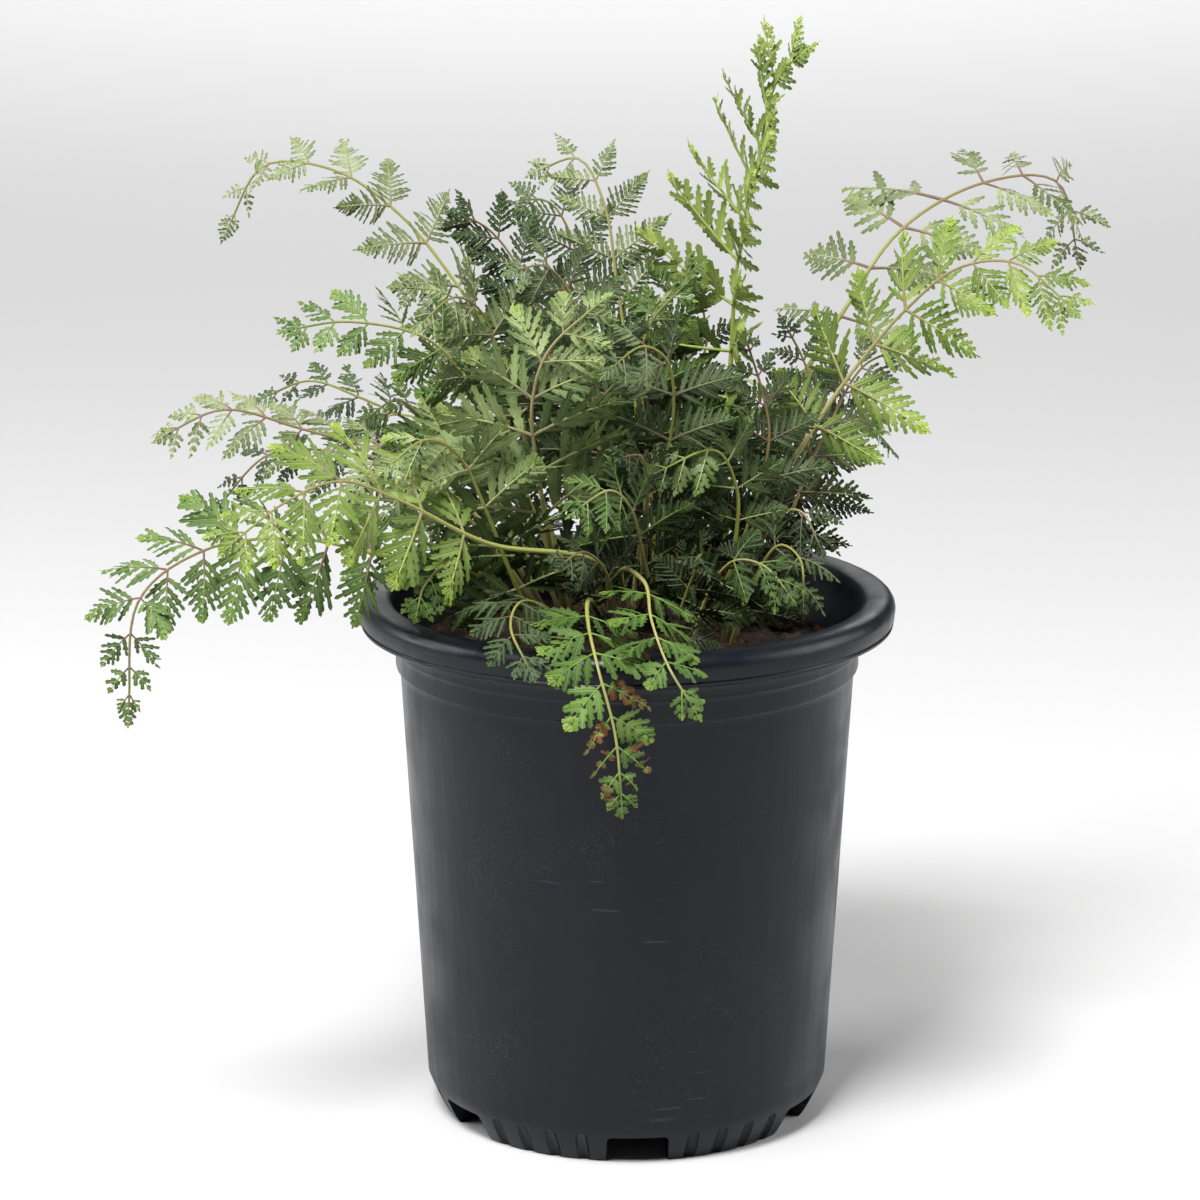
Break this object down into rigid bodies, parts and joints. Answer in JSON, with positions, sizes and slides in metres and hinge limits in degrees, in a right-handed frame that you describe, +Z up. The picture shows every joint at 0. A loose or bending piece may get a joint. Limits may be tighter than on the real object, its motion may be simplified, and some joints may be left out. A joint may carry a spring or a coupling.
{
  "type": "potted japanese painted fern",
  "caption": "Japanese painted fern with silvery, much divided arching fronds on slender stalks, growing in a round black nursery pot with a rolled lip and a fluted, gapped foot.",
  "frame": {"origin": "on the floor, under the middle of the pot's foot", "axes": "+Z up along the pot's axis; -Y towards the viewer of the front; +X to the viewer's right"},
  "size_m": [0.3193, 0.2243, 0.3492],
  "materials": {
    "pot_plastic": "satin",
    "potting_mix": "rough",
    "fern_leaf": "satin"
  },
  "bodies": {
    "root": {"pot": "pot_plastic", "soil": "potting_mix", "frond_tower": "fern_leaf", "frond_right_high": "fern_leaf", "frond_right_mid": "fern_leaf", "frond_left_high": "fern_leaf", "frond_left_upper": "fern_leaf", "frond_left_mid": "fern_leaf", "frond_left_low": "fern_leaf", "frond_left_bright": "fern_leaf", "frond_front_mid": "fern_leaf", "frond_front_left": "fern_leaf", "frond_over_rim": "fern_leaf", "frond_over_rim_right": "fern_leaf", "frond_small_bright": "fern_leaf", "frond_top": "fern_leaf", "frond_top_dark": "fern_leaf", "frond_top_back": "fern_leaf", "frond_upper_left_grey": "fern_leaf", "frond_centre_grey": "fern_leaf", "frond_centre_right": "fern_leaf", "frond_mid": "fern_leaf", "frond_mid_dark": "fern_leaf", "frond_right_grey": "fern_leaf", "frond_right_dark": "fern_leaf", "frond_right_low": "fern_leaf", "frond_right_rim": "fern_leaf", "frond_low_right": "fern_leaf", "frond_low_centre": "fern_leaf", "frond_left_back": "fern_leaf", "frond_left_dark": "fern_leaf", "frond_left_fill": "fern_leaf", "frond_rim_grey": "fern_leaf", "frond_rim_left": "fern_leaf", "frond_rim_green": "fern_leaf", "frond_back_left": "fern_leaf", "frond_back": "fern_leaf", "frond_back_right": "fern_leaf", "frond_right_back": "fern_leaf", "frond_back_low_left": "fern_leaf", "frond_back_low_right": "fern_leaf", "frond_low_dark": "fern_leaf", "frond_low_grey": "fern_leaf", "frond_mid_inner": "fern_leaf", "frond_right_inner": "fern_leaf", "frond_upper_gap": "fern_leaf", "frond_right_fill": "fern_leaf", "frond_top_left": "fern_leaf", "frond_back_mid": "fern_leaf", "frond_back_far_right": "fern_leaf", "frond_back_far_left": "fern_leaf"}
  },
  "joints": []
}
